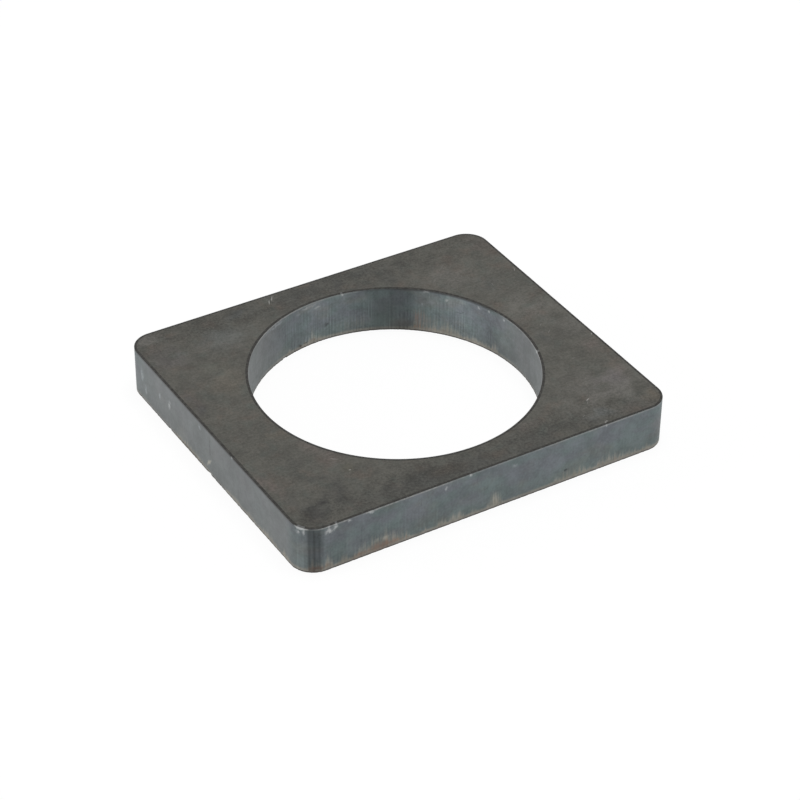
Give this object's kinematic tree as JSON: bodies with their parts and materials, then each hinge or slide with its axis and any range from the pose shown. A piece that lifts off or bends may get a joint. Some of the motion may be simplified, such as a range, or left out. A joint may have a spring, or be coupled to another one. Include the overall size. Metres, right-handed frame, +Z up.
{
  "type": "locking plate",
  "caption": "Flat rectangular steel plate with rounded corners and a large round hole through its middle, which goes over a hub or neck and is kept from turning by its flat sides.",
  "frame": {"origin": "centre of the bore at the plate's underside", "axes": "+X along the plate's longer side, +Y along its shorter side, +Z up through its thickness, along the bore's axis"},
  "size_m": [0.08, 0.0698, 0.01],
  "materials": {
    "plate_steel": "dark grey mill scale on the faces, blue-grey cut walls with fine upright cutting lines"
  },
  "bodies": {
    "root": {"locking_plate": "plate_steel"}
  },
  "joints": []
}
